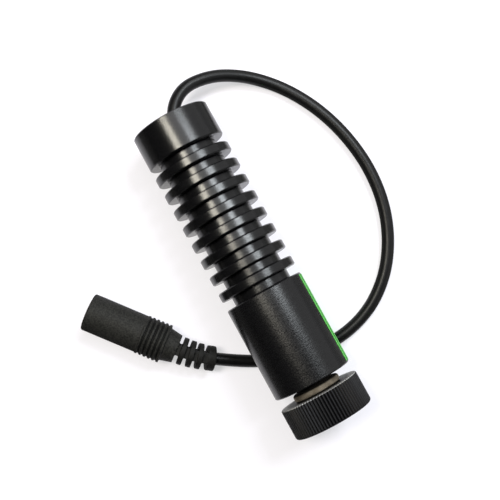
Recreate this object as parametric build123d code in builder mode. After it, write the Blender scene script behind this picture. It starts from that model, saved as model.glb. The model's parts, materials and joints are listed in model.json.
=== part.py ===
"""Laser diode module: a finned black barrel, a knurled focus knob, and a cord that ends in a moulded power socket.

Units are millimetres, +Z is up and the module lies on Z = 0. +X runs along the beam. The module lies across its
own cord, so its front is lifted a little and the beam axis leans. Stations along the beam are counted from the
rear face, and the socket on the cord is counted from its mouth.
"""
import math
import os

from build123d import *

# Finned housing, turned from one bar
housing_radius = 11.0
core_radius = 8.25
head_length = 9.75
fin_count = 8
fin_width = 2.5
groove_width = 2.5
barrel_length = 26.8
edge_break = 0.25
front_lift = 3.5

# Lens cell, screwed into the front of the housing
stem_radius = 5.5
thread_clearance = 0.05
thread_depth = 22.0
cell_engagement = 16.0
collar_gap = 1.15
collar_width = 2.0
collar_flange = 1.2
collar_round = 0.7
nose_step = 0.6
nose_length = 6.0
cell_floor = 1.5

# Focus knob on the nose of the lens cell
knob_radius = 11.2
knob_length = 8.6
knob_front_round = 0.7
knob_rear_break = 0.2
knurl_count = 80
knurl_share = 0.4
knob_fit = 0.03
knob_flare = 2.0

# Collimating lens and the ring that holds it
lens_radius = 3.45
lens_edge = 1.6
lens_dome_radius = 2.9
lens_dome_height = 1.1
lens_fit = 0.03
aperture_lip = 0.75
retainer_length = 1.5
retainer_gap = 0.05

# Spring between the diode holder and the lens cell
spring_wire_radius = 0.3
spring_turns = 4
spring_wall_gap = 0.35

# Diode and its holder
holder_shoulder = 0.7
holder_length = 6.0
holder_fit = 0.03
diode_base_radius = 2.8
diode_base_length = 1.2
diode_can_radius = 1.8
diode_can_length = 2.4
diode_pin_radius = 0.225
diode_pin_length = 7.6
diode_pin_spread = 1.0
pin_hole_radius = 1.9
solder_gap = 0.02

# Driver board in its insulating sleeve
sleeve_wall = 0.6
sleeve_fit = 0.05
sleeve_end_gap = 0.3
board_length = 30.0
board_thickness = 1.0
board_edge_gap = 0.1
board_front_gap = 1.5
chip_length = 4.9
chip_width = 3.9
chip_height = 1.5
coil_radius = 2.4
coil_height = 3.0
capacitor_length = 3.5
capacitor_width = 2.8
capacitor_height = 1.9
trimmer_width = 3.0
trimmer_height = 2.0
trimmer_slot_width = 0.6
trimmer_slot_depth = 0.5
resistor_length = 2.0
resistor_width = 1.25
resistor_height = 0.5
part_spacing = 1.4

# Rear cap, cord and cord tie
cap_shoulder = 1.75
cap_depth = 6.0
cap_recess = 0.3
cap_fit = 0.02
cord_radius = 1.75
cord_hole_gap = 0.1
cord_flare_radius = 3.4
cord_flare_depth = 3.8
cord_stub = 8.8
tie_length = 1.8
tie_wall = 1.15
lead_radius = 0.6
lead_spread = 0.8
lead_pad_spread = 2.2
lead_lap = 4.0
lead_bend = 1.5

# Label film round the right flank of the barrel, angles counted down from the top
label_start_angle = 65.0
label_end_angle = 165.0
label_thickness = 0.1
label_glue_gap = 0.02
label_margin = 0.35

# Power socket moulded on the end of the cord, lying on the same surface
socket_mouth_x = -11.2
socket_mouth_y = -44.35
socket_heading = 38.2
socket_radius = 5.25
socket_mouth_round = 0.5
grip_radius = 5.45
grip_start = 15.9
grip_length = 7.0
grip_groove_count = 5
grip_groove_width = 0.6
grip_groove_depth = 0.3
grip_shoulder = 0.8
taper_length = 3.5
taper_end_radius = 3.95

# Strain relief of that moulding: a bent web, ring teeth that get smaller along it, and an end block
relief_core_radius = 1.75
relief_web_width = 2.9
relief_web_drop = 0.2
first_tooth_radius = 3.85
end_block_radius = 3.45
relief_length = 10.6
relief_heading = 54.0
relief_dip = 12.0
tooth_count = 3
tooth_width = 1.35
tooth_gap = 1.0
end_block_width = 2.2

# Contacts inside the socket
insulator_radius = 4.1
insulator_length = 12.0
insulator_recess = 0.4
insulator_fit = 0.02
plug_bore_radius = 3.1
plug_bore_depth = 9.5
centre_pin_radius = 1.0
centre_pin_tip_recess = 1.5
centre_pin_tip_round = 0.6
centre_pin_tail = 1.5
centre_pin_tail_radius = 0.7
contact_thickness = 0.3
contact_gap = 0.03
contact_angle = 80.0
contact_recess = 2.0

# Cord route on the surface, from behind the rear face round to the socket
cord_exit_turn = 0.2
cord_last_run = 9.0
bend_share = 0.45
cord_floor = cord_radius
cord_loop = [
    (-52.1, 6.3, 9.8),
    (-52.1, 15.6, 6.8),
    (-48.6, 23.7, 3.6),
    (-43.1, 30.3, cord_floor),
    (-36.1, 35.5, cord_floor),
    (-27.8, 39.6, cord_floor),
    (-18.3, 42.3, cord_floor),
    (-8.0, 43.3, cord_floor),
    (2.4, 42.0, cord_floor),
    (11.8, 38.3, cord_floor),
    (20.0, 32.4, cord_floor),
    (26.0, 24.3, cord_floor),
    (28.9, 14.7, cord_floor),
    (28.7, 4.9, cord_floor),
    (26.2, -4.5, cord_floor),
]

# Sizes and stations that follow
groove_count = fin_count + 1
barrel_start = head_length + fin_count * fin_width + groove_count * groove_width
housing_length = barrel_start + barrel_length
thread_bore_radius = stem_radius + thread_clearance
cavity_radius = thread_bore_radius + holder_shoulder
cap_bore_radius = cavity_radius + cap_shoulder
holder_front = housing_length - thread_depth
holder_rear = holder_front - holder_length
cell_rear = housing_length - cell_engagement
collar_rear = housing_length + collar_gap
knob_rear = collar_rear + collar_width
knob_front = knob_rear + knob_length
nose_radius = stem_radius - nose_step
nose_front = knob_rear + nose_length
lens_pocket_radius = lens_radius + lens_fit
lens_rear = cell_rear + cell_floor
lens_front = lens_rear + lens_edge

# The rear rim touches the surface, and the module is centred over the origin along X
lift = math.radians(front_lift)
beam = Vector(math.cos(lift), 0, math.sin(lift))
rise = Vector(-math.sin(lift), 0, math.cos(lift))
rear_height = housing_radius * math.cos(lift) - edge_break * math.sin(lift)
rear_reach = (housing_radius - edge_break) * math.sin(lift)
knob_edge = (knob_front - knob_front_round) * math.cos(lift)
front_reach = knob_edge + (knob_radius - knob_front_round) * math.sin(lift) + knob_front_round
rear_centre = Vector((rear_reach - front_reach) / 2, 0, rear_height)
beam_axis = Axis(rear_centre, beam)

# A lengthwise plane (station, radius) for turned profiles, and a bench plane (station, Y) for flat parts
turning_plane = Plane(origin=rear_centre, x_dir=beam, z_dir=(0, -1, 0))
bench_plane = Plane(origin=rear_centre, x_dir=beam, z_dir=rise)


def station(distance):
    """The plane across the beam at a distance from the rear face, with its local Y pointing up."""
    return Plane(origin=rear_centre + beam * distance, x_dir=(0, 1, 0), z_dir=beam)


def save(piece, name):
    """Label a finished piece and write it to its own file."""
    piece.part.label = name
    export_step(piece.part, f"parts/{name}.step")


os.makedirs("parts", exist_ok=True)

# Housing: bar, grooves between the fins, bores from both ends
with BuildPart() as housing:
    with BuildSketch(station(0)):
        Circle(housing_radius)
    extrude(amount=housing_length)
    for groove in range(groove_count):
        groove_start = head_length + groove * (groove_width + fin_width)
        with BuildSketch(station(groove_start)):
            Circle(housing_radius + groove_width)
            Circle(core_radius, mode=Mode.SUBTRACT)
        extrude(amount=groove_width, mode=Mode.SUBTRACT)
    rims = housing.edges().filter_by(GeomType.CIRCLE).filter_by(lambda rim: rim.radius > core_radius + edge_break)
    chamfer(rims, length=edge_break)
    with BuildSketch(station(0)):
        Circle(cap_bore_radius)
    extrude(amount=cap_depth, mode=Mode.SUBTRACT)
    with BuildSketch(station(cap_depth)):
        Circle(cavity_radius)
    extrude(amount=holder_front - cap_depth, mode=Mode.SUBTRACT)
    with BuildSketch(station(holder_front)):
        Circle(thread_bore_radius)
    extrude(amount=thread_depth, mode=Mode.SUBTRACT)
save(housing, "housing")

# Label film, a thin arc just proud of the barrel
label_inner_radius = housing_radius + label_glue_gap
label_spread = label_end_angle - label_start_angle
with BuildPart() as label:
    with BuildSketch(station(barrel_start + edge_break + label_margin)):
        with BuildLine():
            inside = CenterArc((0, 0), label_inner_radius, 90 - label_end_angle, label_spread)
            outside = CenterArc((0, 0), label_inner_radius + label_thickness, 90 - label_end_angle, label_spread)
            Line(inside @ 0, outside @ 0)
            Line(inside @ 1, outside @ 1)
        make_face()
    extrude(amount=barrel_length - 2 * (edge_break + label_margin))
save(label, "label")

# Rear cap with a hole for the cord that flares outwards
cord_hole_radius = cord_radius + cord_hole_gap
with BuildPart() as rear_cap:
    with BuildSketch(turning_plane):
        with BuildLine():
            Polyline(
                (cap_recess, cord_flare_radius),
                (cap_recess, cap_bore_radius - cap_fit),
                (cap_depth, cap_bore_radius - cap_fit),
                (cap_depth, cord_hole_radius),
                (cap_recess + cord_flare_depth, cord_hole_radius),
                close=True,
            )
        make_face()
    revolve(axis=beam_axis)
save(rear_cap, "rear_cap")

# Tie drawn tight on the cord behind the cap, which stops it being pulled out
with BuildPart() as cord_tie:
    with BuildSketch(station(cap_depth)):
        Circle(cord_radius + tie_wall)
        Circle(cord_radius + cap_fit, mode=Mode.SUBTRACT)
    extrude(amount=tie_length)
    with BuildSketch(station(cap_depth)):
        with Locations((0, cord_radius + tie_wall)):
            Rectangle(tie_length, tie_wall)
    extrude(amount=tie_length)
save(cord_tie, "cord_tie")

# Insulating sleeve between the rear cap and the diode holder
sleeve_radius = cavity_radius - sleeve_fit
sleeve_bore_radius = sleeve_radius - sleeve_wall
sleeve_rear = cap_depth + tie_length + sleeve_end_gap
with BuildPart() as insulating_sleeve:
    with BuildSketch(station(sleeve_rear)):
        Circle(sleeve_radius)
        Circle(sleeve_bore_radius, mode=Mode.SUBTRACT)
    extrude(amount=holder_rear - sleeve_end_gap - sleeve_rear)
save(insulating_sleeve, "insulating_sleeve")

# Diode holder: a disc with a seat for the diode's base
diode_seat = holder_front - diode_base_length
with BuildPart() as diode_holder:
    with BuildSketch(station(holder_rear)):
        Circle(cavity_radius - holder_fit)
        Circle(pin_hole_radius, mode=Mode.SUBTRACT)
    extrude(amount=holder_length)
    with BuildSketch(station(diode_seat)):
        Circle(diode_base_radius + holder_fit)
    extrude(amount=diode_base_length, mode=Mode.SUBTRACT)
save(diode_holder, "diode_holder")

# Laser diode: base, can, and three pins that straddle the board
pin_height = board_thickness / 2 + diode_pin_radius + solder_gap
with BuildPart() as laser_diode:
    with BuildSketch(station(diode_seat)):
        Circle(diode_base_radius)
    extrude(amount=diode_base_length)
    with BuildSketch(station(holder_front)):
        Circle(diode_can_radius)
    extrude(amount=diode_can_length)
    with BuildSketch(station(diode_seat)):
        with Locations((-diode_pin_spread, pin_height), (diode_pin_spread, pin_height), (0, -pin_height)):
            Circle(diode_pin_radius)
    extrude(amount=-diode_pin_length)
save(laser_diode, "laser_diode")

# Driver board, held by its long edges in the sleeve
board_front = holder_rear - board_front_gap
board_rear = board_front - board_length
board_width = 2 * (sleeve_bore_radius - board_edge_gap)
board_top = bench_plane.offset(board_thickness / 2)
with BuildPart() as driver_board:
    with BuildSketch(bench_plane):
        with Locations(((board_rear + board_front) / 2, 0)):
            Rectangle(board_length, board_width)
    extrude(amount=board_thickness / 2, both=True)
save(driver_board, "driver_board")

# Parts on the board, in a row from the diode's end to the cord's end
pins_end = diode_seat - diode_pin_length
chip_station = pins_end - part_spacing - chip_length / 2
with BuildPart() as driver_chip:
    with BuildSketch(board_top):
        with Locations((chip_station, 0)):
            Rectangle(chip_length, chip_width)
    extrude(amount=chip_height)
save(driver_chip, "driver_chip")

coil_station = chip_station - chip_length / 2 - part_spacing - coil_radius
with BuildPart() as inductor:
    with BuildSketch(board_top):
        with Locations((coil_station, 0)):
            Circle(coil_radius)
    extrude(amount=coil_height)
save(inductor, "inductor")

trimmer_station = coil_station - coil_radius - part_spacing - trimmer_width / 2
with BuildPart() as current_trimmer:
    with BuildSketch(board_top):
        with Locations((trimmer_station, 0)):
            Rectangle(trimmer_width, trimmer_width)
    extrude(amount=trimmer_height)
    with BuildSketch(board_top.offset(trimmer_height)):
        with Locations((trimmer_station, 0)):
            Rectangle(trimmer_width / 2, trimmer_slot_width)
    extrude(amount=-trimmer_slot_depth, mode=Mode.SUBTRACT)
save(current_trimmer, "current_trimmer")

capacitor_station = trimmer_station - trimmer_width / 2 - part_spacing - capacitor_length / 2
with BuildPart() as input_capacitor:
    with BuildSketch(board_top):
        with Locations((capacitor_station, 0)):
            Rectangle(capacitor_length, capacitor_width)
    extrude(amount=capacitor_height)
save(input_capacitor, "input_capacitor")

resistor_side = chip_width / 2 + resistor_width
with BuildPart() as chip_resistors:
    with BuildSketch(board_top):
        with Locations((coil_station, resistor_side), (coil_station, -resistor_side)):
            Rectangle(resistor_length, resistor_width)
    extrude(amount=resistor_height)
save(chip_resistors, "chip_resistors")

# Two leads from the cord's end up on to the board
lead_height = board_thickness / 2 + lead_radius + solder_gap
lead_end = board_rear + lead_lap
lead_climb = (board_rear - cord_stub) / 2
for side, lead_name in ((1, "lead_red"), (-1, "lead_black")):
    with BuildPart() as lead:
        with BuildLine(bench_plane) as lead_path:
            FilletPolyline(
                (cord_stub, side * lead_spread, 0),
                (cord_stub + lead_climb / 2, side * lead_spread, 0),
                (board_rear - lead_climb / 2, side * lead_pad_spread, lead_height),
                (lead_end, side * lead_pad_spread, lead_height),
                radius=lead_bend,
            )
        with BuildSketch(Plane(origin=lead_path.line @ 0, z_dir=lead_path.line % 0)):
            Circle(lead_radius)
        sweep(path=lead_path.line)
    save(lead, lead_name)

# Lens cell: threaded stem, collar with a rounded rim, and a nose for the knob
collar_radius = stem_radius + collar_flange
with BuildPart() as lens_cell:
    with BuildSketch(turning_plane):
        with BuildLine():
            Polyline(
                (cell_rear, lens_radius - aperture_lip),
                (cell_rear, stem_radius - edge_break),
                (cell_rear + edge_break, stem_radius),
                (collar_rear, stem_radius),
                (collar_rear, collar_radius),
                (knob_rear, collar_radius),
                (knob_rear, nose_radius),
                (nose_front, nose_radius),
                (nose_front, lens_pocket_radius),
                (lens_rear, lens_pocket_radius),
                (lens_rear, lens_radius - aperture_lip),
                close=True,
            )
        make_face()
    revolve(axis=beam_axis)
    rims = lens_cell.edges().filter_by(GeomType.CIRCLE).filter_by(lambda rim: rim.radius > stem_radius + edge_break)
    fillet(rims, radius=collar_round)
save(lens_cell, "lens_cell")

# Collimating lens: a flat flange with a dome on its front
dome_top = lens_front + lens_dome_height
dome_sphere_radius = (lens_dome_radius**2 + lens_dome_height**2) / (2 * lens_dome_height)
dome_half_angle = math.degrees(math.asin(lens_dome_radius / dome_sphere_radius))
with BuildPart() as collimating_lens:
    with BuildSketch(turning_plane):
        with BuildLine():
            CenterArc((dome_top - dome_sphere_radius, 0), dome_sphere_radius, 0, dome_half_angle)
            Polyline(
                (dome_top, 0),
                (lens_rear, 0),
                (lens_rear, lens_radius),
                (lens_front, lens_radius),
                (lens_front, lens_dome_radius),
            )
        make_face()
    revolve(axis=beam_axis)
save(collimating_lens, "collimating_lens")

# Threaded ring that holds the lens against its lip
with BuildPart() as lens_retainer:
    with BuildSketch(station(lens_front)):
        Circle(lens_radius)
        Circle(lens_dome_radius + retainer_gap, mode=Mode.SUBTRACT)
    extrude(amount=retainer_length)
save(lens_retainer, "lens_retainer")

# Focus spring: half turns that climb from the diode holder to the lens cell, each a tilted half circle
spring_radius = thread_bore_radius - spring_wall_gap - spring_wire_radius
spring_height = cell_rear - holder_front - 2 * spring_wire_radius
half_turn_count = 2 * spring_turns
half_rise = spring_height / half_turn_count
half_bulge = math.hypot(spring_radius, half_rise / 2)
with BuildPart() as focus_spring:
    with BuildLine(station(holder_front + spring_wire_radius)) as coil_path:
        for half_turn_index in range(half_turn_count):
            side = (-1) ** half_turn_index
            height = half_turn_index * half_rise
            ThreePointArc(
                (side * spring_radius, 0, height),
                (0, side * half_bulge, height + half_rise / 2),
                (-side * spring_radius, 0, height + half_rise),
            )
    with BuildSketch(Plane(origin=coil_path.line @ 0, z_dir=coil_path.line % 0)):
        Circle(spring_wire_radius)
    sweep(path=coil_path.line)
save(focus_spring, "focus_spring")

# Focus knob: a straight knurl all round, rounded at the front, bored for the nose and flared for the beam
knurl_pitch = 2 * math.pi * knob_radius / knurl_count
knurl_depth = knurl_share * knurl_pitch
with BuildPart() as focus_knob:
    with BuildSketch(station(knob_rear)):
        Circle(knob_radius)
        with PolarLocations(knob_radius, knurl_count):
            Rectangle(knurl_depth * math.sqrt(2), knurl_depth * math.sqrt(2), rotation=45, mode=Mode.SUBTRACT)
    extrude(amount=knob_length)
    with BuildSketch(turning_plane):
        with BuildLine():
            Polyline(
                (knob_front, lens_pocket_radius + knob_flare),
                (knob_front, knob_radius - knob_front_round),
            )
            JernArc(
                start=(knob_front, knob_radius - knob_front_round),
                tangent=(0, 1),
                radius=knob_front_round,
                arc_size=90,
            )
            Polyline(
                (knob_front - knob_front_round, knob_radius),
                (knob_rear + knob_rear_break, knob_radius),
                (knob_rear, knob_radius - knob_rear_break),
                (knob_rear, nose_radius + knob_fit),
                (nose_front + knob_fit, nose_radius + knob_fit),
                (nose_front + knob_fit, lens_pocket_radius),
                (knob_front - knob_flare, lens_pocket_radius),
                (knob_front, lens_pocket_radius + knob_flare),
            )
        make_face()
    revolve(axis=beam_axis, mode=Mode.INTERSECT)
save(focus_knob, "focus_knob")

# Frame of the power socket: its axis starts at the mouth and lies one grip radius above the surface
socket_axis_height = grip_radius
heading = math.radians(socket_heading)
socket_way = Vector(math.cos(heading), math.sin(heading), 0)
socket_mouth = Vector(socket_mouth_x, socket_mouth_y, socket_axis_height)
socket_side = Vector(math.sin(heading), -math.cos(heading), 0)
socket_axis = Axis(socket_mouth, socket_way)
socket_turning_plane = Plane(origin=socket_mouth, x_dir=socket_way, z_dir=socket_side)
grip_end = grip_start + grip_length
taper_end = grip_end + taper_length


def socket_station(distance):
    """The plane across the socket at a distance from its mouth, with its local X level and Y up."""
    return Plane(origin=socket_mouth + socket_way * distance, x_dir=-socket_side, z_dir=socket_way)


# The strain relief leaves the taper along the socket's axis, then bends towards the cord
relief_turn_to = math.radians(relief_heading)
relief_fall = math.radians(relief_dip)
relief_end_way = Vector(
    math.cos(relief_fall) * math.cos(relief_turn_to),
    math.cos(relief_fall) * math.sin(relief_turn_to),
    -math.sin(relief_fall),
)
relief_turn = socket_way.get_angle(relief_end_way)
relief_bend_radius = relief_length / math.radians(relief_turn)
relief_start = socket_mouth + socket_way * taper_end
relief_plane = Plane(origin=relief_start, x_dir=socket_way, z_dir=socket_way.cross(relief_end_way))
with BuildLine(relief_plane) as relief_path:
    JernArc(start=(0, 0), tangent=(1, 0), radius=relief_bend_radius, arc_size=relief_turn)
relief_line = relief_path.line

# Socket body: one moulding with a ribbed grip, a taper, and the strain relief
with BuildPart() as socket_body:
    with BuildSketch(socket_turning_plane):
        with BuildLine():
            Polyline(
                (0, 0),
                (0, socket_radius),
                (grip_start, socket_radius),
                (grip_start, grip_radius),
                (grip_end, grip_radius),
                (grip_end, grip_radius - grip_shoulder),
                (taper_end, taper_end_radius),
                (taper_end, 0),
                close=True,
            )
        make_face()
    revolve(axis=socket_axis)
    mouth_rim = socket_body.edges().filter_by(GeomType.CIRCLE).sort_by(socket_axis)[0]
    fillet(mouth_rim, radius=socket_mouth_round)
    grip_pitch = grip_length / (grip_groove_count + 0.5)
    for groove in range(grip_groove_count):
        with BuildSketch(socket_station(grip_start + (groove + 0.5) * grip_pitch)):
            Circle(grip_radius + grip_groove_depth)
            Circle(grip_radius - grip_groove_depth, mode=Mode.SUBTRACT)
        extrude(amount=grip_groove_width, mode=Mode.SUBTRACT)
    with BuildSketch(socket_station(taper_end)):
        Circle(relief_core_radius)
        Rectangle(relief_web_width, 2 * (end_block_radius - relief_web_drop))
    sweep(path=relief_line)
    for tooth in range(tooth_count):
        tooth_middle = tooth_gap + tooth_width / 2 + tooth * (tooth_gap + tooth_width)
        tooth_share = tooth_middle / relief_length
        with BuildSketch(Plane(origin=relief_line @ tooth_share, z_dir=relief_line % tooth_share)):
            Circle(first_tooth_radius + (end_block_radius - first_tooth_radius) * tooth / tooth_count)
        extrude(amount=tooth_width / 2, both=True)
    with BuildSketch(Plane(origin=relief_line @ 1, z_dir=relief_line % 1)):
        Circle(end_block_radius)
    extrude(amount=-end_block_width)
    with BuildSketch(socket_station(0)):
        Circle(insulator_radius + insulator_fit)
    extrude(amount=insulator_recess + insulator_length, mode=Mode.SUBTRACT)
save(socket_body, "socket_body")

# Insulator: a cup with the bore that takes the plug
bore_floor = insulator_recess + plug_bore_depth
with BuildPart() as socket_insulator:
    with BuildSketch(socket_station(insulator_recess)):
        Circle(insulator_radius)
    extrude(amount=insulator_length)
    with BuildSketch(socket_station(insulator_recess)):
        Circle(plug_bore_radius)
    extrude(amount=plug_bore_depth, mode=Mode.SUBTRACT)
    with BuildSketch(socket_station(bore_floor)):
        Circle(centre_pin_tail_radius + insulator_fit)
    extrude(amount=centre_pin_tail, mode=Mode.SUBTRACT)
save(socket_insulator, "socket_insulator")

# Centre pin with a rounded tip, standing on the insulator's floor with its tail set in it
with BuildPart() as socket_centre_pin:
    with BuildSketch(socket_station(centre_pin_tip_recess)):
        Circle(centre_pin_radius)
    extrude(amount=bore_floor - centre_pin_tip_recess)
    tip_rim = socket_centre_pin.edges().filter_by(GeomType.CIRCLE).sort_by(socket_axis)[0]
    fillet(tip_rim, radius=centre_pin_tip_round)
    with BuildSketch(socket_station(bore_floor)):
        Circle(centre_pin_tail_radius)
    extrude(amount=centre_pin_tail)
save(socket_centre_pin, "socket_centre_pin")

# Sleeve contact: a curved spring leaf against the upper wall of the bore
leaf_radius = plug_bore_radius - contact_gap
with BuildPart() as socket_contact:
    with BuildSketch(socket_station(contact_recess)):
        with BuildLine():
            outside = CenterArc((0, 0), leaf_radius, 90 - contact_angle / 2, contact_angle)
            inside = CenterArc((0, 0), leaf_radius - contact_thickness, 90 - contact_angle / 2, contact_angle)
            Line(inside @ 0, outside @ 0)
            Line(inside @ 1, outside @ 1)
        make_face()
    extrude(amount=bore_floor - contact_recess)
save(socket_contact, "socket_contact")

# Cord: straight runs joined by arcs as large as the runs allow
relief_end = relief_line @ 1
cord_points = [
    rear_centre + beam * cord_stub,
    rear_centre + beam * cord_exit_turn,
    *[Vector(*point) for point in cord_loop],
    relief_end + relief_end_way * cord_last_run,
    relief_end,
]
cord_radii = []
for before, corner, after in zip(cord_points, cord_points[1:], cord_points[2:]):
    arriving = corner - before
    leaving = after - corner
    half_turn = math.radians(arriving.get_angle(leaving)) / 2
    cord_radii.append(bend_share * min(arriving.length, leaving.length) / math.tan(half_turn))
with BuildPart() as cord:
    with BuildLine() as cord_path:
        FilletPolyline(*cord_points, radius=cord_radii)
    with BuildSketch(Plane(origin=cord_path.line @ 0, z_dir=cord_path.line % 0)):
        Circle(cord_radius)
    sweep(path=cord_path.line)
save(cord, "cord")

cord_length = cord_path.wire().length
print("cord bend radii", [round(radius, 1) for radius in cord_radii])
print("cord length", round(cord_length, 2))
print("cord volume over section times length", round(cord.part.volume / (math.pi * cord_radius**2 * cord_length), 4))
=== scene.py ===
# %% [markdown]
# # A laser diode module, dressed in Blender
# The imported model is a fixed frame: every node is an object at the origin, in metres, with its
# place in its mesh. Nothing in it is moved here. The pieces that show are modelled again with
# finer edges, each in its node's place, and the nodes that stay hidden inside only get a finish.

# %% Load the frame
import json
import math

import bpy
from mathutils import Matrix, Vector


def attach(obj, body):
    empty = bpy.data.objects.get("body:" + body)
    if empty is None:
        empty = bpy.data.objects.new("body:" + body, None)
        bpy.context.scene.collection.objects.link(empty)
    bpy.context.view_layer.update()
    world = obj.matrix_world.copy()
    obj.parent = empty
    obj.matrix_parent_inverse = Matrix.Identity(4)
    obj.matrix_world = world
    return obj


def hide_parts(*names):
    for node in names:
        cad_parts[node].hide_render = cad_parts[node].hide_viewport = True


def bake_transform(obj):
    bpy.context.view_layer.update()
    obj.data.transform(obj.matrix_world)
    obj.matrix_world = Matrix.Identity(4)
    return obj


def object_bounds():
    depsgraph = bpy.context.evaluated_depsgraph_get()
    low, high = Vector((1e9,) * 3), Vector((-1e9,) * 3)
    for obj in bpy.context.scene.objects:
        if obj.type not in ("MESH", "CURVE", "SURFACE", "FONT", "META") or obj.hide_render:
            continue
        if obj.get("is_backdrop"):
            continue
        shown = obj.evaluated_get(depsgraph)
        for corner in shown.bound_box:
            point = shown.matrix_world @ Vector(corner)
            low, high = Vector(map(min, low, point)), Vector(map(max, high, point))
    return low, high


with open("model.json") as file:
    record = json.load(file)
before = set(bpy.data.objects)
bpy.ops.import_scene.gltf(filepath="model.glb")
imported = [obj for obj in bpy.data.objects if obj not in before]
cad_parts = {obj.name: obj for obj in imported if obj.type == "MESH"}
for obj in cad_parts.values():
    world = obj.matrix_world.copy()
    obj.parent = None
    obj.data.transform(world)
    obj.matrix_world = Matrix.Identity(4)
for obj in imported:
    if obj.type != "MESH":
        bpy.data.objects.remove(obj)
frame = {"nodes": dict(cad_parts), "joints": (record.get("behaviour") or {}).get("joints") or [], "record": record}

MM = 0.001
cad_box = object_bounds()

# %% [markdown]
# ## Camera
# The module is seen from above, turned on the picture's diagonal. A camera could be aimed with a
# constraint, but three plain angles are enough: a camera with no turn looks straight down, so two
# small tilts and one turn about the vertical give the view. The lens is a short telephoto, which
# keeps the fins nearly parallel.

# %% Place the camera
camera_place = Vector((-3.884, -9.115, 269.178)) * MM
camera_turns = [math.radians(degrees) for degrees in (1.366, -2.147, 61.225)]
sensor_width = 36.0
focal_length = 68.98
nearest_seen = 10.0 * MM
bpy.ops.object.select_all(action="DESELECT")
bpy.ops.object.camera_add(location=camera_place, rotation=camera_turns)
camera = bpy.context.object
camera.data.sensor_width = sensor_width
camera.data.lens = focal_length
camera.data.clip_start = nearest_seen
bpy.context.scene.camera = camera
print("camera", round(camera_place.z / MM), "mm above the floor, lens of", focal_length, "mm")

# %% [markdown]
# ## The module's own axis
# All turned pieces share the beam's axis, which leans a little because the barrel lies across its
# cord. The angle could be typed in, but the joint already gives the axis and the mount gives a
# point on it. A matrix with that axis as its Z lets every turned piece be modelled upright at the
# origin, as on a lathe stood on end, and be put in its place when it is done.


# %% Read the axis and make its frame
def find(rows, name):
    """The row of that name."""
    return next(row for row in rows if row["name"] == name)


beam = Vector(find(frame["joints"], "focus_turn")["axis"]).normalized()
across = Vector((0.0, 1.0, 0.0))
upward = beam.cross(across)
barrel_middle = Vector(find(frame["record"]["mounts"], "barrel")["pos_m"])
rear_face = min(vertex.co.dot(beam) for vertex in frame["nodes"]["housing"].data.vertices)
rear_centre = barrel_middle + beam * (rear_face - barrel_middle.dot(beam))
module_turn = Matrix((upward, -across, beam)).transposed().to_4x4()
module_frame = Matrix.Translation(rear_centre) @ module_turn
print("beam", [round(value, 4) for value in beam])
print("rear centre", [round(value / MM, 2) for value in rear_centre], "mm")

# %% [markdown]
# ## A lathe
# A turned piece is a line of points swung round its axis. The line could be typed in as a mesh,
# but a single vertex that is pulled from point to point with the extrude tool does the same by
# hand, and the spin tool does the turning. A full turn ends where it began, so the doubled points
# are welded there, and the faces are then pointed outwards.


# %% Turn a line into a piece
weld_gap = 0.002 * MM
lathe_centre = (0.0, 0.0, 0.0)
lathe_axis = (0.0, 0.0, 1.0)


def edit(piece):
    """Make a piece the only selected object and open all of its mesh for editing."""
    bpy.ops.object.select_all(action="DESELECT")
    piece.select_set(True)
    bpy.context.view_layer.objects.active = piece
    bpy.ops.object.mode_set(mode="EDIT")
    bpy.ops.mesh.select_all(action="SELECT")


def weld():
    """Weld the open mesh, point its faces outwards and leave edit mode."""
    bpy.ops.mesh.select_all(action="SELECT")
    bpy.ops.mesh.remove_doubles(threshold=weld_gap)
    bpy.ops.mesh.normals_make_consistent(inside=False)
    bpy.ops.object.mode_set(mode="OBJECT")


def turn(name, profile, steps, sweep=360.0):
    """Spin a line of (radius, station) points, in millimetres, through so many degrees about Z."""
    bpy.ops.object.select_all(action="DESELECT")
    bpy.ops.mesh.primitive_plane_add(size=MM)
    piece = bpy.context.object
    piece.name = name
    edit(piece)
    bpy.ops.mesh.merge(type="CENTER")
    bpy.ops.transform.translate(value=(profile[0][0] * MM, 0.0, profile[0][1] * MM))
    for before, after in zip(profile, profile[1:]):
        step = ((after[0] - before[0]) * MM, 0.0, (after[1] - before[1]) * MM)
        bpy.ops.mesh.extrude_vertices_move(TRANSFORM_OT_translate={"value": step})
    bpy.ops.mesh.select_all(action="SELECT")
    angle = math.radians(sweep)
    bpy.ops.mesh.spin(steps=steps, angle=angle, center=lathe_centre, axis=lathe_axis)
    weld()
    return piece


print("points closer than", round(weld_gap / MM, 3), "mm are welded")

# %% [markdown]
# ## Modifiers, and a piece's place
# A modifier could stay live, but once it is applied the piece is a plain mesh that is easy to
# measure. A finished piece then gets its place in its mesh, so that its object sits at the origin
# as the CAD nodes do, and stands for its node. Faces that meet at a small angle are shaded as one
# smooth surface, and sharper edges stay crisp.


# %% Change a piece and settle it
smooth_angle = math.radians(22.0)


def change(piece, kind, **settings):
    """Add a modifier to the piece, set it and apply it."""
    bpy.ops.object.modifier_add(type=kind)
    for name, value in settings.items():
        setattr(piece.modifiers[-1], name, value)
    bpy.ops.object.modifier_apply(modifier=piece.modifiers[-1].name)


def settle(piece, place, body, node):
    """Put a finished piece in its place, with no turn left on its object, to stand for its node."""
    piece.matrix_world = place
    bpy.ops.object.transform_apply(location=True, rotation=True, scale=True)
    bpy.ops.object.shade_smooth_by_angle(angle=smooth_angle)
    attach(piece, body)
    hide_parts(node)
    print(piece.name, "for", node, "with", len(piece.data.polygons), "faces")


print("edges sharper than", round(math.degrees(smooth_angle)), "degrees stay crisp")

# %% [markdown]
# ## Housing
# The real housing is one aluminium bar on a lathe: a head, eight fins cut by a grooving tool, and
# a smooth barrel, bored from both ends. Rings could be stacked on a tube, but one profile, walked
# along the outside and back through the bores, gives one closed skin. A bevel on all sharp rims
# stands for the breaks that the turner leaves, and gives each fin its fine edge line.

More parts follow.
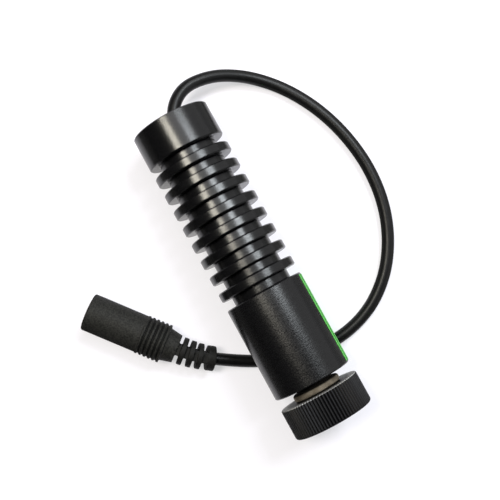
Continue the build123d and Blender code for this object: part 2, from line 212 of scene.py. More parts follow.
# %% Draw the housing's profile
bar_radius = 11.0
core_radius = 8.25
head_length = 9.75
fin_pitch = 5.0
groove_count = 9
groove_width = 2.5
housing_length = 79.05
cap_radius = 8.0
cap_depth = 6.0
sleeve_radius = 6.25
holder_front = 57.05
thread_bore = 5.55
outside = [(cap_radius, 0.0), (bar_radius, 0.0)]
for groove in range(groove_count):
    start = head_length + groove * fin_pitch
    outside += [(bar_radius, start), (core_radius, start)]
    outside += [(core_radius, start + groove_width), (bar_radius, start + groove_width)]
outside += [(bar_radius, housing_length)]
bores = [(thread_bore, housing_length), (thread_bore, holder_front)]
bores += [(sleeve_radius, holder_front), (sleeve_radius, cap_depth)]
bores += [(cap_radius, cap_depth), (cap_radius, 0.0)]
print("profile of", len(outside + bores), "points")

# %% Turn the housing and break its edges
housing_steps = 288
edge_break = 0.28 * MM
sharp_angle = math.radians(40.0)
housing = turn("housing_turned", outside + bores, housing_steps)
bevel = {"width": edge_break, "segments": 1, "limit_method": "ANGLE", "angle_limit": sharp_angle}
change(housing, "BEVEL", **bevel)
settle(housing, module_frame, "module", "housing")

# %% [markdown]
# ## Label
# A film is glued round one flank of the barrel. A curved strip could be cut from the barrel's own
# faces, but a thin oblong spun through part of a turn gives a film with a real thickness. Its two
# ends are filled afterwards.

# %% Spin the label
label_start = 67.0
label_sweep = 98.0
label_rear = 52.85
label_front = 78.45
label_under = 11.02
label_top = 11.12
label_steps = 60
strip = [(label_under, label_rear), (label_top, label_rear)]
strip += [(label_top, label_front), (label_under, label_front)]
label = turn("label_skin", strip + strip[:1], label_steps, label_sweep)
edit(label)
bpy.ops.mesh.fill_holes(sides=0)
weld()
label_turn = Matrix.Rotation(math.radians(-label_start), 4, "Z")
settle(label, module_frame @ label_turn, "module", "label")

# %% [markdown]
# ## Lens cell
# The brass cell is a hollow screw: a fine thread that goes into the housing, a collar with a round
# rim, and a nose for the knob. A screw modifier could wind a true thread. Here it is a row of V
# rings in the same profile, because only a hair of it shows in the gap, and the mesh stays even.


# %% Draw the lens cell's profile
def arc(radius, station, size, first, last, count):
    """Points on a circle about a middle, between two angles. At 0 degrees it points outwards."""
    swings = [math.radians(first + (last - first) * step / count) for step in range(count + 1)]
    return [(radius + size * math.cos(a), station + size * math.sin(a)) for a in swings]


cell_rear = 63.05
aperture = 2.7
thread_root = 5.25
thread_crest = 5.5
thread_pitch = 0.5
thread_count = 33
collar_rear = 80.2
collar_front = 82.2
collar_radius = 6.7
collar_round = 0.7
nose_radius = 4.9
nose_front = 88.2
pocket_radius = 3.48
pocket_floor = 64.55
screw = [(aperture, cell_rear), (thread_root, cell_rear)]
for ring in range(thread_count):
    screw += [(thread_crest, cell_rear + (ring + 0.5) * thread_pitch)]
    screw += [(thread_root, cell_rear + (ring + 1.0) * thread_pitch)]
rim_middle = collar_radius - collar_round
rim = arc(rim_middle, collar_rear + collar_round, collar_round, -90.0, 0.0, 6)
rim += arc(rim_middle, collar_front - collar_round, collar_round, 0.0, 90.0, 6)
nose = [(nose_radius, collar_front), (nose_radius, nose_front)]
pocket = [(pocket_radius, nose_front), (pocket_radius, pocket_floor), (aperture, pocket_floor)]
cell_profile = [*screw, (thread_root, collar_rear), *rim, *nose, *pocket, (aperture, cell_rear)]
print("profile of", len(cell_profile), "points")

# %% Turn the lens cell
cell_steps = 128
cell = turn("cell_turned", cell_profile, cell_steps)
settle(cell, module_frame, "focus", "lens_cell")

# %% [markdown]
# ## Collimating lens
# The lens is pressed glass: a flat rim that sits on the floor of the cell's pocket, with a dome on
# its front. A sphere could be cut for the dome, but an arc in the profile gives the same surface
# with a clean pole and even rings of faces.

# %% Turn the lens
lens_front = 66.15
lens_radius = 3.45
dome_radius = 2.9
dome_height = 1.1
lens_steps = 96
ball_radius = (dome_radius**2 + dome_height**2) / (2 * dome_height)
ball_middle = lens_front + dome_height - ball_radius
dome_start = math.degrees(math.acos(dome_radius / ball_radius))
dome = arc(0.0, ball_middle, ball_radius, dome_start, 90.0, 14)
lens_rim = [(0.0, pocket_floor), (lens_radius, pocket_floor), (lens_radius, lens_front)]
lens = turn("lens_pressed", lens_rim + dome, lens_steps)
settle(lens, module_frame, "focus", "collimating_lens")

# %% [markdown]
# ## Focus spring
# A steel spring takes up the play of the focus thread. It could ride with the lens cell, but would
# then cut into the diode holder when the cell is screwed in. Here a welded copy of its CAD mesh,
# shaded smooth, takes the node's place and is attached to neither body.

# %% Weld a copy of the spring
spring_node = frame["nodes"]["focus_spring"]
spring = bpy.data.objects.new("spring_wire", spring_node.data.copy())
bpy.context.scene.collection.objects.link(spring)
edit(spring)
weld()
bpy.ops.object.shade_smooth()
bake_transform(spring)
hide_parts("focus_spring")
print(spring.name, "with", len(spring.data.polygons), "faces")

# %% [markdown]
# ## Focus knob
# The knob has a straight knurl of eighty V grooves. Cutting eighty wedges with a Boolean would be
# slow and leave a messy mesh. One groove is a slice of the turned profile whose inner columns are
# pressed in towards the axis, and the spin tool then copies that slice all the way round.

# %% Turn one slice of the knob
knob_radius = 11.2
knob_rear = collar_front
knob_front = 90.8
knob_round = 0.7
knob_break = 0.2
knob_bore = 4.93
knob_step = 88.23
mouth_flare = 2.0
knurl_count = 80
knurl_columns = 10
slice_sweep = 360.0 / knurl_count
edge = arc(knob_radius - knob_round, knob_front - knob_round, knob_round, 0.0, 90.0, 5)
skirt = [(knob_radius - knob_break, knob_rear), (knob_radius, knob_rear + knob_break), *edge]
flare = [(pocket_radius + mouth_flare, knob_front), (pocket_radius, knob_front - mouth_flare)]
seat = [(pocket_radius, knob_step), (knob_bore, knob_step), (knob_bore, knob_rear)]
knob_profile = [(knob_bore, knob_rear), *skirt, *flare, *seat]
knob = turn("knob_knurled", knob_profile, knurl_columns, slice_sweep)
print("one slice with", len(knob.data.vertices), "vertices")

# %% Press the groove into the slice
knurl_width = 2 * math.pi * knob_radius / knurl_count
knurl_depth = 0.4 * knurl_width
knurl_floor = knob_radius - knurl_depth
near_angle = 0.05
near_radius = 0.001


def select_row(piece, sweep, ring):
    """Open a piece with only its vertices at one angle and one radius selected."""
    edit(piece)
    bpy.ops.mesh.select_all(action="DESELECT")
    bpy.ops.object.mode_set(mode="OBJECT")
    for vertex in piece.data.vertices:
        angle = abs(math.degrees(math.atan2(vertex.co.y, vertex.co.x)))
        at_radius = abs(vertex.co.xy.length / MM - ring) < near_radius
        vertex.select = at_radius and abs(angle - sweep) < near_angle
    bpy.ops.object.mode_set(mode="EDIT")


knurl_rings = sorted({round(radius, 4) for radius, _ in knob_profile if radius > knurl_floor})
for column in range(1, knurl_columns):
    from_middle = abs(column / knurl_columns - 0.5)
    pressed = knob_radius - max(0.0, knurl_depth - from_middle * knurl_width)
    for ring in [ring for ring in knurl_rings if ring > pressed]:
        select_row(knob, column * slice_sweep / knurl_columns, ring)
        inward = pressed / ring
        bpy.ops.transform.resize(value=(inward, inward, 1.0), center_override=lathe_centre)
        bpy.ops.object.mode_set(mode="OBJECT")
print("a groove", round(knurl_width, 2), "mm wide and", round(knurl_depth, 2), "mm deep")

# %% Copy the slice round
copies = knurl_count - 1
copy_turn = 2 * math.pi * copies / knurl_count
edit(knob)
bpy.ops.mesh.spin(steps=copies, dupli=True, angle=copy_turn, center=lathe_centre, axis=lathe_axis)
weld()
settle(knob, module_frame, "focus", "focus_knob")

# %% [markdown]
# ## Power socket
# The socket is one soft moulding: a plain sleeve, a ribbed grip, a taper, and a strain relief
# whose rings hang on a narrow bent web so that it can flex. One mesh with all these edges would be
# hard to round. So it is put together from a turned body, two swept stems and four discs. A voxel
# remesh melts them into one skin and a light smoothing rounds all edges, as a rubber mould does.

# %% Find the socket's own axis
pin_middle = 6.0
socket_pin = find(frame["record"]["mounts"], "socket_pin")
socket_way = -Vector(socket_pin["axis"]).normalized()
socket_up = Vector((0.0, 0.0, 1.0))
socket_mouth = Vector(socket_pin["pos_m"]) - socket_way * pin_middle * MM
socket_turn = Matrix((socket_up, socket_way.cross(socket_up), socket_way)).transposed().to_4x4()
socket_frame = Matrix.Translation(socket_mouth) @ socket_turn
print("socket's mouth", [round(value / MM, 2) for value in socket_mouth], "mm")

# %% Turn the body of the socket
bore_radius = 4.12
bore_depth = 12.4
shell_radius = 5.25
mouth_round = 0.5
grip_start = 15.9
grip_end = 22.9
grip_radius = 5.47
groove_radius = 5.05
grip_ramp = 0.1
rib_grooves = 5
rib_pitch = (grip_end - grip_start) / (rib_grooves + 0.5)
taper_rear = 4.65
taper_front = 3.95
taper_end = 26.4
socket_steps = 160
# one groove: radius, and how far from its start
groove_line = [(grip_radius, -0.05), (groove_radius, 0.1)]
groove_line += [(groove_radius, 0.5), (grip_radius, 0.65)]
socket_profile = [(0.0, bore_depth), (bore_radius, bore_depth), (bore_radius, 0.0)]
socket_profile += arc(shell_radius - mouth_round, mouth_round, mouth_round, -90.0, 0.0, 4)
socket_profile += [(shell_radius, grip_start), (grip_radius, grip_start + grip_ramp)]
for groove in range(rib_grooves):
    start = grip_start + (groove + 0.5) * rib_pitch
    socket_profile += [(radius, start + offset) for radius, offset in groove_line]
socket_profile += [(grip_radius, grip_end), (taper_rear, grip_end)]
socket_profile += [(taper_front, taper_end), (0.0, taper_end)]
socket = turn("socket_moulding", socket_profile, socket_steps)
print(socket.name, "begins with", len(socket.data.polygons), "faces")

# %% Bend the line of the strain relief
relief_length = 10.6
relief_heading = math.radians(54.0)
relief_dip = math.radians(12.0)
relief_way = Vector((math.cos(relief_heading), math.sin(relief_heading), -math.tan(relief_dip)))
relief_way.normalize()
socket_axis = Vector((0.0, 0.0, 1.0))
lean = socket_turn.to_3x3().inverted() @ relief_way
relief_turn = lean.angle(socket_axis)
lean.z = 0.0
relief_start = socket_axis * taper_end * MM
bend_centre = relief_start + lean.normalized() * relief_length * MM / relief_turn
bend_axis = socket_axis.cross(lean).normalized()


def relief_at(share):
    """The frame at a share of the strain relief, with its Z along it."""
    turned = Matrix.Rotation(relief_turn * share, 4, bend_axis)
    return Matrix.Translation(bend_centre + turned @ (relief_start - bend_centre)) @ turned


print("the strain relief turns", round(math.degrees(relief_turn), 1), "degrees")

# %% Sweep its stems
web_height = 6.5 * MM
web_width = 2.8 * MM
stem_radius = 1.75 * MM
sweep_steps = 20
bpy.ops.mesh.primitive_plane_add(size=1.0, location=relief_start)
web = bpy.context.object
edit(web)
bpy.ops.transform.resize(value=(web_height, web_width, 1.0))
bpy.ops.object.mode_set(mode="OBJECT")
stem_circle = {"radius": stem_radius, "vertices": 32, "fill_type": "NGON"}
bpy.ops.mesh.primitive_circle_add(location=relief_start, **stem_circle)
stem = bpy.context.object
for swept in (web, stem):
    edit(swept)
    bpy.ops.mesh.spin(steps=sweep_steps, angle=-relief_turn, center=bend_centre, axis=bend_axis)
    weld()
print("stems with", len(web.data.polygons), "and", len(stem.data.polygons), "faces")

# %% Place its rings
ring_width = 1.35
last_width = 2.2
relief_rings = [
    (3.85, ring_width, 1.675),
    (3.72, ring_width, 4.025),
    (3.58, ring_width, 6.375),
    (3.45, last_width, relief_length - last_width / 2),
]
discs = []
for radius, width, middle in relief_rings:
    bpy.ops.mesh.primitive_cylinder_add(radius=radius * MM, depth=width * MM, vertices=96)
    bpy.context.object.matrix_world = relief_at(middle / relief_length)
    discs.append(bpy.context.object)
print(len(discs), "rings on the strain relief")

# %% Melt them into one moulding
voxel_size = 0.165 * MM
bpy.ops.object.select_all(action="DESELECT")
for piece in [web, stem, *discs, socket]:
    piece.select_set(True)
bpy.context.view_layer.objects.active = socket
bpy.ops.object.join()
change(socket, "REMESH", mode="VOXEL", voxel_size=voxel_size)
change(socket, "SMOOTH", factor=0.5, iterations=2)
settle(socket, socket_frame, "module", "socket_body")
bpy.ops.object.shade_smooth()

# %% [markdown]
# ## Cord
# The cord leaves the rear face, drops to the floor, loops round one flank and passes under the
# barrel to its socket. A bent tube of straight runs and arcs would look like wire. A smooth spline
# through a few control points gives the easy line of a soft lead, and a round bevel gives it its
# thickness. Blender counts the radius of each point in a curve's bounds, so the points hold the
# cord's radius and the bevel's own depth stays at one.

# %% Plot the cord's route
cord_diameter = 3.5 * MM
lying = cord_diameter / 2 / MM
cord_loop = [
    (-52.1, 6.3, 9.8),
    (-52.1, 15.6, 6.8),
    (-48.6, 23.7, 3.6),
    (-43.1, 30.3, lying),
    (-36.1, 35.5, lying),
    (-27.8, 39.6, lying),
    (-18.3, 42.3, lying),
    (-8.0, 43.3, lying),
    (2.4, 42.0, lying),
    (11.8, 38.3, lying),
    (20.0, 32.4, lying),
    (26.0, 24.3, lying),
    (28.9, 14.7, lying),
    (28.7, 4.9, lying),
    (26.2, -4.5, lying),
]
stub_inside = 8.8
stub_mouth = 0.2
straight_run = 9.0
relief_end = socket_frame @ relief_at(1.0).translation
cord_route = [rear_centre + beam * station * MM for station in (stub_inside, stub_mouth)]
cord_route += [Vector(place) * MM for place in cord_loop]
cord_route += [relief_end + relief_way * straight_run * MM, relief_end]
print("cord of", len(cord_route), "points")

# %% Lay the cord
cord_curve = bpy.data.curves.new("cord_line", "CURVE")
cord_curve.dimensions = "3D"
cord_spline = cord_curve.splines.new("NURBS")
cord_spline.points.add(len(cord_route) - 1)
for point, place in zip(cord_spline.points, cord_route):
    point.co = (*place, 1.0)
    point.radius = cord_diameter / 2
cord_spline.order_u = 3
cord_spline.use_endpoint_u = True
cord_spline.resolution_u = 16
cord_curve.bevel_depth = 1.0
cord_curve.bevel_resolution = 8
cord_curve.use_fill_caps = True
cord = bpy.data.objects.new("cord_lead", cord_curve)
bpy.context.scene.collection.objects.link(cord)
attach(cord, "module")
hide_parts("cord")
print(cord.name, "is", round(cord_diameter / MM, 1), "mm thick")

# %% [markdown]
# ## Studio
# The photograph's floor is white to its edge, with faint shadows close to the object, and the
# black housing shows two soft streaks and is dark elsewhere. A white world alone would grey the
# housing all over. So four black cards stand round and above the scene and two grey ones lie on
# the floor. The camera doesn't see them, but the housing mirrors them. Lamps draw the streaks.

# %% Lay the floor and make the world
floor_size = 6.0
bpy.context.scene.view_settings.view_transform = "Standard"
bpy.ops.object.select_all(action="DESELECT")
bpy.ops.mesh.primitive_plane_add(size=floor_size)
floor = bpy.context.object
floor.name = "floor"
floor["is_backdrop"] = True
world = bpy.data.worlds.new("studio")
world.use_nodes = True
bpy.context.scene.world = world
print("floor", floor_size, "m wide")


# %% Set up the cards
def add_card(name, place, tilt, width, height):
    """A card that darkens reflections and that the camera doesn't see."""
    bpy.ops.object.select_all(action="DESELECT")
    bpy.ops.mesh.primitive_plane_add(size=1.0, location=place, rotation=tilt)
    card = bpy.context.object
    card.name = name
    card.scale = (width, height, 1.0)
    card.visible_camera = False
    card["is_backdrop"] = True
    return card


flat = (0.0, 0.0, 0.0)
facing_side = (math.radians(90), 0.0, 0.0)
facing_along = (0.0, math.radians(90), 0.0)
black_cards = [
    add_card("card_above", (0.1, -0.1, 0.9), flat, 2.0, 1.6),
    add_card("card_side", (0.1, -0.9, 0.45), facing_side, 2.0, 0.9),
    add_card("card_rear", (-0.95, -0.1, 0.45), facing_along, 0.9, 1.6),
    add_card("card_front", (1.1, -0.1, 0.45), facing_along, 0.9, 1.6),
]
grey_cards = [
    add_card("card_low", (0.0, -0.341, 0.001), flat, 1.0, 0.6),
    add_card("card_grey", (0.0, 0.325, 0.001), flat, 1.0, 0.6),
]
for card in grey_cards:
    card.visible_diffuse = False
    card.visible_shadow = False
print(len(black_cards), "black cards and", len(grey_cards), "grey ones")


# %% Hang the lamps
def add_lamp(name, place, width, height, power, tint):
    """A rectangular lamp that faces straight down."""
    bpy.ops.object.select_all(action="DESELECT")
    bpy.ops.object.light_add(type="AREA", location=place)
    lamp = bpy.context.object
    lamp.name = name
    lamp.data.shape = "RECTANGLE"
    lamp.data.size = width
    lamp.data.size_y = height
    lamp.data.energy = power
    lamp.data.color = tint
    return lamp


warm = (1.0, 0.95, 0.82)
cool = (0.9, 0.96, 1.0)
white = (1.0, 1.0, 1.0)
lamps = [
    add_lamp("warm_lamp", (-0.183, -0.178, 0.65), 0.15, 0.20, 3.7, warm),
    add_lamp("cool_lamp", (-0.147, 0.42, 0.65), 0.155, 0.30, 4.5, cool),
    add_lamp("soft_panel", (-0.22, 0.11, 0.66), 0.3, 0.42, 1.5, white),
    add_lamp("key_lamp", (-0.6, 0.7, 0.85), 0.3, 0.3, 6.0, white),
]
print(len(lamps), "lamps of", round(sum(lamp.data.energy for lamp in lamps), 1), "W together")

# %% [markdown]
# ## Shader sums
# A finish is mostly arithmetic on textures. Wiring every Math node by hand hides the idea, so one
# small class wraps a socket and turns Python's operators into nodes. Any other node comes from its
# one method, and a few named steps that the finishes share are built on that.


# %% Sockets that can be used in sums
class Shade:
    """A socket of a node tree. Sums of them add Math nodes."""

    def __init__(self, tree, socket=None):
        self.tree = tree
        self.socket = socket

    def node(self, kind, settings=None, inputs=None, output=0):
        """Add a node: settings first, then values or links for its sockets. Gives one output."""
        made = self.tree.nodes.new(kind)
        for name, value in (settings or {}).items():
            setattr(made, name, value)
        for name, value in (inputs or {}).items():
            if isinstance(value, Shade):
                self.tree.links.new(value.socket, made.inputs[name])
            else:
                made.inputs[name].default_value = value
        return Shade(self.tree, made.outputs[output])

    def math(self, operation, first, second=0.0):
        """A Math node on one or two values."""
        return self.node("ShaderNodeMath", {"operation": operation}, {0: first, 1: second})

    def __add__(self, other):
        return self.math("ADD", self, other)

    __radd__ = __add__

    def __sub__(self, other):
        return self.math("SUBTRACT", self, other)

    def __rsub__(self, other):
        return self.math("SUBTRACT", other, self)

    def __mul__(self, other):
        return self.math("MULTIPLY", self, other)

    __rmul__ = __mul__

    def __abs__(self):
        return self.math("ABSOLUTE", self)

    def rise(self, low, high):
        """0 below low, 1 above high, smooth between."""
        settings = {"interpolation_type": "SMOOTHSTEP"}
        inputs = {"Value": self, "From Min": low, "From Max": high}
        return self.node("ShaderNodeMapRange", settings, inputs)

    def along(self, way):
        """How far a point lies along a direction."""
        settings = {"operation": "DOT_PRODUCT"}
        return self.node("ShaderNodeVectorMath", settings, {0: self, 1: way}, "Value")

    def mix(self, first, second):
        """The first colour where this mask is 0, the second where it is 1."""
        tones = [tone if isinstance(tone, Shade) else (*tone, 1.0) for tone in (first, second)]
        inputs = {0: self, 6: tones[0], 7: tones[1]}
        return self.node("ShaderNodeMix", {"data_type": "RGBA"}, inputs, 2)

    def noise(self, scale, detail=3.0):
        """Cloudy noise between about 0 and 1, with so many lumps to the unit."""
        inputs = {"Vector": self, "Scale": scale, "Detail": detail}
        return self.node("ShaderNodeTexNoise", {}, inputs)

    def bump(self, distance):
        """A normal that makes this height stand proud by so many metres."""
        return self.node("ShaderNodeBump", {}, {"Height": self, "Distance": distance})


# %% [markdown]
# ## Floor, world and card finishes
# A lit white floor is grey at its edges, and a shining one has no shadow. A mix of the two gives a
# floor that is white and still takes the soft shadow under the barrel. The glow is there only for
# what the camera sees, straight or by way of metal and glass, so it puts no light on the object.
# The world is white to the same rays and a little dimmer as a light.


# %% Paint the floor and the world
def new_material(name):
    """A material of that name with Blender's plain shader."""
    made = bpy.data.materials.new(name)
    made.use_nodes = True
    return made


def seen_rays(tree):
    """1 for what the camera sees, straight or by mirrors and glass, 0 for the light on things."""
    kinds = ("Is Camera Ray", "Is Glossy Ray", "Is Transmission Ray")
    rays = [Shade(tree).node("ShaderNodeLightPath", output=kind) for kind in kinds]
    return rays[0].math("MAXIMUM", rays[0], rays[1].math("MAXIMUM", rays[1], rays[2]))


floor_tone = (0.9, 0.875, 0.99, 1.0)
floor_glow_share = 0.55
glow_tone = (1.0, 1.0, 1.0, 1.0)
ambient = 0.78
sky = world.node_tree.nodes["Background"]
sky.inputs["Color"].default_value = glow_tone
sky_level = seen_rays(world.node_tree) * (1.0 - ambient) + ambient
world.node_tree.links.new(sky_level.socket, sky.inputs["Strength"])
floor_paint = new_material("floor_paint")
floor_tree = floor_paint.node_tree
glow_share = seen_rays(floor_tree) * floor_glow_share
paper = glow_share.node("ShaderNodeBsdfDiffuse", {}, {"Color": floor_tone})
glow = glow_share.node("ShaderNodeEmission", {}, {"Color": glow_tone, "Strength": 1.0})
surface = glow_share.node("ShaderNodeMixShader", {}, {0: glow_share, 1: paper, 2: glow})
floor_tree.links.new(surface.socket, floor_tree.nodes["Material Output"].inputs["Surface"])
floor.data.materials.append(floor_paint)
print("floor with", floor_glow_share, "of glow, world lit at", ambient)


# %% Paint the cards
def apply_shader(made, inputs):
    """Set or link the sockets of a material's own shader."""
    shader = made.node_tree.nodes["Principled BSDF"]
    for name, value in inputs.items():
        if isinstance(value, Shade):
            made.node_tree.links.new(value.socket, shader.inputs[name])
        else:
            shader.inputs[name].default_value = value
    return made


grey_tones = {"card_low": 0.1, "card_grey": 0.25}
for card in black_cards + grey_cards:
    tone = grey_tones.get(card.name, 0.0)
    matte = {"Base Color": (tone, tone, tone, 1.0), "Roughness": 1.0, "Specular IOR Level": 0.0}
    card.data.materials.append(apply_shader(new_material(card.name), matte))
print(len(black_cards + grey_cards), "cards painted")

# %% [markdown]
# ## Places on a turned piece
# Marks from a lathe run round its axis. They could be drawn on an unwrapped map, but each point's
# own place is enough: its station along the axis, its distance from it and its angle round it.
# Noise that is stretched round the turn then gives tool rings and smears.


# %% Measure a point as on the lathe
full_turn = 6.3


def lathe(place, centre=rear_centre, way=beam, sideways=across, up=upward):
    """Station along an axis, distance from it, and angle round it from the top towards one side."""
    station = place.along(way) - centre.dot(way)
    height = place.along(up) - centre.dot(up)
    side = place.along(sideways) - centre.dot(sideways)
    square = height * height + side * side
    return station, square.math("SQRT", square), side.math("ARCTAN2", side, height)


def rings_of(station, angle, along, around, detail=2.0):
    """Noise with so many lumps to the metre along the beam and so many round a turn."""
    inputs = {0: station * along, 1: angle * (around / full_turn)}
    return station.node("ShaderNodeCombineXYZ", {}, inputs).noise(1.0, detail)


def new_finish(name):
    """A new material, and the place of each point on the object."""
    made = new_material(name)
    return made, Shade(made.node_tree).node("ShaderNodeTexCoord", output="Object")


finishes = {}
print("stations count from", round(rear_centre.dot(beam) / MM, 2), "mm along the beam")

# %% [markdown]
# ## Black anodised housing
# Anodised aluminium keeps the fine rings of the tool under its black skin. One roughness all over
# would look like paint. So smears run round the fins, which stay glossy, and the barrel, which is
# handled, is duller: a fine satin noise in its roughness breaks up the streaks of light there.

# %% Paint the housing
made, place = new_finish("black_anodised")
station, _, angle = lathe(place)
barrel_start = head_length + (groove_count - 1) * fin_pitch + groove_width
on_barrel = station.rise((barrel_start - 0.15) * MM, (barrel_start + 0.15) * MM)
grain = place.noise(2200.0, 4.0)
satin = place.noise(3000.0, 3.0)
tool_rings = rings_of(station, angle, 5000.0, 9.0)
smears = rings_of(station, angle, 2600.0, 30.0)
fin_roughness = 0.18 + smears * 0.08
barrel_extra = 0.24 + smears * 0.03 - satin * 0.42
black_anodised = {
    "Base Color": smears.mix((0.0022, 0.0022, 0.0027), (0.0057, 0.0057, 0.0062)),
    "Roughness": fin_roughness + on_barrel * barrel_extra,
    "Normal": (grain * 1.2 + tool_rings * 0.4).bump(0.015 * MM),
    "Specular IOR Level": 0.29,
}
finishes["black_anodised"] = apply_shader(made, black_anodised)
print(made.name, "with", len(made.node_tree.nodes), "nodes")

# %% [markdown]
# ## Black anodised knob
# The knob's ridge tops are painted lighter than its grooves, partly as wear and partly as a
# painted highlight, and its grooves get painted shade. Its front face shows facing rings, and bare
# metal shows at the rear rim, where the knurl was cut off. Each could be a material of its own on
# its own faces, but masks of radius and station keep it one finish with soft limits.

# %% Paint the knob
made, place = new_finish("knob_anodised")
station, radius, angle = lathe(place)
on_ridge = radius.rise((knob_radius - 0.18) * MM, knob_radius * MM)
# ridge tops painted lighter: partly wear, partly a painted highlight
ridge_wear_and_highlight = on_ridge * (0.5 + rings_of(station, angle, 900.0, 300.0))
past_rear_rim = station.rise((knob_rear + 0.15) * MM, (knob_rear + 0.25) * MM)
bare = radius.rise(8.6 * MM, 9.8 * MM) * (1.0 - past_rear_rim)
on_knurl = radius.rise((knob_radius - 0.65) * MM, (knob_radius - 0.45) * MM)
facing_rings = rings_of(radius, angle, 2600.0, 7.0)
face_tone = facing_rings.mix((0.0015, 0.0015, 0.0018), (0.0095, 0.0095, 0.01))
# painted shade in the knurl's grooves, wear and a painted highlight on its ridge tops
knurl_shade_and_highlight = ridge_wear_and_highlight.mix((0.0006, 0.0006, 0.001), (0.011, 0.011, 0.0125))
knob_anodised = {
    "Base Color": bare.mix(on_knurl.mix(face_tone, knurl_shade_and_highlight), (0.3, 0.3, 0.3)),
    "Metallic": bare,
    "Roughness": 0.36 + place.noise(3000.0) * 0.16 + bare * 0.2,
    "Normal": place.noise(7000.0).bump(0.006 * MM),
    "Specular IOR Level": 0.16,
}
finishes["knob_anodised"] = apply_shader(made, knob_anodised)
print(made.name, "with", len(made.node_tree.nodes), "nodes")

# %% [markdown]
# ## Dull brass
# Old brass is brown in patches. A plain yellow metal would look new. Noise that runs round the
# turn gives the patches, and a mask along the beam paints shade on the thread and on the corners
# beside the collar's rim, which sit in the dark gaps to the barrel and to the knob.

# %% Paint the brass
made, place = new_finish("brass")
station, _, angle = lathe(place)
tarnish = rings_of(station, angle, 700.0, 22.0, 4.0)
# painted shade on the thread and the collar's corners, in the gaps beside the rim
from_rear = station.rise((collar_rear + 0.15) * MM, (collar_rear + 0.6) * MM)
from_front = station.rise((collar_front - 0.45) * MM, (collar_front - 0.15) * MM)
rim_clear_of_shade = from_rear * (1.0 - from_front)
rim_tone = tarnish.rise(0.3, 0.7).mix((0.15, 0.128, 0.098), (0.26, 0.228, 0.185))
tool_rings = rings_of(station, angle, 6000.0, 8.0)
brass = {
    "Base Color": rim_clear_of_shade.mix((0.02, 0.018, 0.015), rim_tone),
    "Metallic": 1.0,
    "Roughness": 0.72 + tarnish * 0.2,
    "Normal": (place.noise(4200.0) + tool_rings).bump(0.006 * MM),
}
finishes["brass"] = apply_shader(made, brass)
print(made.name, "with", len(made.node_tree.nodes), "nodes")

# %% [markdown]
# ## Label film
# The label is plain green film with one dark line along each side. The line could be a strip of its
# own, but here it is only a colour in the film's finish. The angle round the barrel, times the
# radius, tells how far a point is from the film's side, and that places the line.

# %% Paint the label
made, place = new_finish("label_film")
_, _, angle = lathe(place)
line_inset = 1.02 * MM
half_width = math.radians(label_sweep / 2) * label_top * MM
middle_angle = math.radians(label_start + label_sweep / 2)
from_side = half_width - abs(angle - middle_angle) * (label_top * MM)
line = 1.0 - abs(from_side - line_inset).rise(0.3 * MM, 0.4 * MM)
fibre = place.noise(2600.0)
green = fibre.mix((0.085, 0.42, 0.07), (0.12, 0.5, 0.095))
label_film = {
    "Base Color": line.mix(green, (0.006, 0.035, 0.008)),
    "Roughness": 0.5 + fibre * 0.1,
    "Normal": fibre.bump(0.004 * MM),
    "Specular IOR Level": 0.1,
}
finishes["label_film"] = apply_shader(made, label_film)
print(made.name, "with", len(made.node_tree.nodes), "nodes")

# %% [markdown]
# ## Rubber of the socket
# The socket's rubber is mottled by its mould: fine pores with a few larger clouds. Its grooves and
# the strain relief get painted shade. That could be left to shadow alone, but soft light fills such
# narrow grooves, so masks on the socket's own axis paint them darker.

# %% Paint the socket
made, place = new_finish("black_moulding")
socket_side = socket_up.cross(socket_way)
station, radius, _ = lathe(place, socket_mouth, socket_way, socket_side, socket_up)
clouds = place.noise(520.0, 4.0)
pores = place.noise(2600.0, 3.0)
mottle = (clouds * 0.15 + pores * 0.85).rise(0.33, 0.67)
skin = mottle.mix((0.004, 0.004, 0.0037), (0.02, 0.02, 0.0182))
past_grip = station.rise(grip_end * MM, (grip_end + 0.1) * MM)
in_grip = station.rise(grip_start * MM, (grip_start + 0.3) * MM) * (1.0 - past_grip)
on_rib = radius.rise((groove_radius + 0.09) * MM, (grip_radius - 0.11) * MM)
in_relief = station.rise(taper_end * MM, (taper_end + 0.6) * MM)
# painted shade in the grip's grooves and over the strain relief
recess_shade = in_grip * (1.0 - on_rib) + in_relief * 0.72
black_moulding = {
    "Base Color": recess_shade.mix(skin, (0.0015, 0.0015, 0.0015)),
    "Roughness": 0.55 + clouds * 0.2,
    "Normal": (clouds * 0.6 + pores * 0.5).bump(0.05 * MM),
    "Specular IOR Level": 0.17,
}
finishes["black_moulding"] = apply_shader(made, black_moulding)
print(made.name, "with", len(made.node_tree.nodes), "nodes")

# %% [markdown]
# ## Jacket of the cord
# A soft jacket is nearly even, with faint marks where it was bent and pulled. Marks along the cord
# would need a map that follows the curve. At this size plain noise in space looks the same.

# %% Paint the cord
made, place = new_finish("cord_jacket")
marks = place.noise(700.0, 4.0)
cord_jacket = {
    "Base Color": marks.mix((0.0028, 0.0028, 0.003), (0.006, 0.006, 0.0062)),
    "Roughness": 0.3 + marks * 0.14,
    "Normal": (marks + place.noise(3800.0) * 0.4).bump(0.02 * MM),
    "Specular IOR Level": 0.19,
}
finishes["cord_jacket"] = apply_shader(made, cord_jacket)
print(made.name, "with", len(made.node_tree.nodes), "nodes")

# %% [markdown]
# ## Finishes of the pieces inside
# The parts inside show through the bore or when the module is taken apart. Each could have a finish
# as full as the housing's, but at their size two close tones, a grain of its own size and a fine
# unevenness are enough. One table holds them, and one loop makes them all.

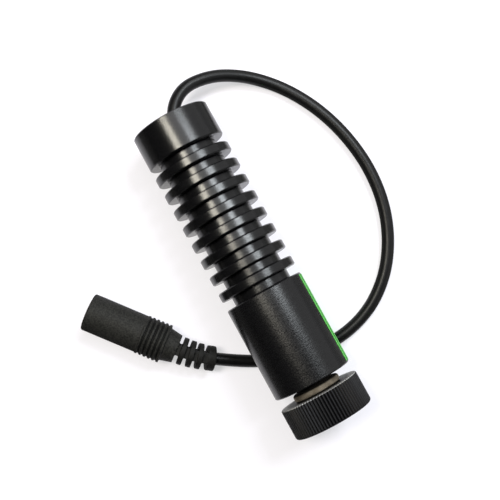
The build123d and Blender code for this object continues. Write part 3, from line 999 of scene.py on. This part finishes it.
# %% List the inner finishes
inner_finishes = {
    # dark tone, light tone, roughness, lumps to the metre, height of the grain in millimetres
    "black_plastic": ((0.008, 0.008, 0.008), (0.014, 0.014, 0.014), 0.45, 1800.0, 0.02),
    "red_lead": ((0.42, 0.02, 0.015), (0.55, 0.035, 0.025), 0.35, 900.0, 0.01),
    "nylon": ((0.68, 0.66, 0.6), (0.78, 0.77, 0.72), 0.4, 1200.0, 0.01),
    "sleeve_plastic": ((0.06, 0.06, 0.07), (0.1, 0.1, 0.11), 0.4, 1500.0, 0.01),
    "gilt_metal": ((0.72, 0.52, 0.22), (0.83, 0.64, 0.31), 0.18, 2500.0, 0.004),
    "circuit_board": ((0.015, 0.12, 0.035), (0.025, 0.17, 0.055), 0.25, 3000.0, 0.01),
    "black_resin": ((0.015, 0.015, 0.015), (0.03, 0.03, 0.03), 0.55, 5000.0, 0.01),
    "ferrite": ((0.045, 0.045, 0.05), (0.08, 0.08, 0.085), 0.6, 4000.0, 0.02),
    "trimmer_plastic": ((0.05, 0.14, 0.42), (0.07, 0.18, 0.5), 0.35, 2000.0, 0.01),
    "capacitor_resin": ((0.5, 0.33, 0.08), (0.6, 0.42, 0.12), 0.45, 2500.0, 0.01),
    "spring_steel": ((0.5, 0.5, 0.5), (0.62, 0.62, 0.62), 0.22, 4000.0, 0.004),
    "nickel": ((0.62, 0.6, 0.56), (0.72, 0.7, 0.66), 0.14, 3000.0, 0.003),
    "lens_glass": ((0.9, 0.95, 0.93), (0.95, 0.98, 0.97), 0.0, 500.0, 0.0005),
}
inner_extras = {
    "gilt_metal": {"Metallic": 1.0},
    "circuit_board": {"Coat Weight": 0.3},
    "spring_steel": {"Metallic": 1.0},
    "nickel": {"Metallic": 1.0},
    "lens_glass": {"Transmission Weight": 0.95, "IOR": 1.58},
}
print(len(inner_finishes), "finishes inside")

# %% Paint the inner pieces
for name, (dark, light, roughness, lumps, grain_height) in inner_finishes.items():
    made, place = new_finish(name)
    grain = place.noise(lumps, 4.0)
    fine_grain = {
        "Base Color": grain.rise(0.3, 0.7).mix(dark, light),
        "Roughness": roughness + grain * 0.12,
        "Normal": grain.bump(grain_height * MM),
    }
    finishes[name] = apply_shader(made, {**fine_grain, **inner_extras.get(name, {})})
print(len(finishes), "finishes in all")

# %% [markdown]
# ## Finishes on the pieces
# Each CAD node comes with a plain material named for its slot. Its colour could be changed in
# place, but swapping the whole material in the slot leaves the node's mesh as it was. The pieces
# modelled here get theirs by name.

# %% Hand the finishes out
for node in frame["nodes"].values():
    for slot in node.material_slots:
        slot.material = finishes[slot.material.name.split(".")[0]]
new_pieces = {
    housing: "black_anodised",
    label: "label_film",
    cell: "brass",
    lens: "lens_glass",
    spring: "spring_steel",
    knob: "knob_anodised",
    socket: "black_moulding",
    cord: "cord_jacket",
}
for piece, finish in new_pieces.items():
    piece.data.materials.clear()
    piece.data.materials.append(finishes[finish])
print("finishes on", len(frame["nodes"]), "nodes and", len(new_pieces), "new pieces")

# %% [markdown]
# ## Sizes, and the end
# Dressing the part mustn't change its size. A look at the picture wouldn't show half a millimetre,
# so the far corner of the dressed part's box is printed against that of the CAD model's box.

# %% Print the sizes and finish
visual_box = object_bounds()
growth = [round((visual_box[1][axis] - cad_box[1][axis]) / MM, 2) for axis in range(3)]
print("far corner of the dressed part against the CAD box", growth, "mm")
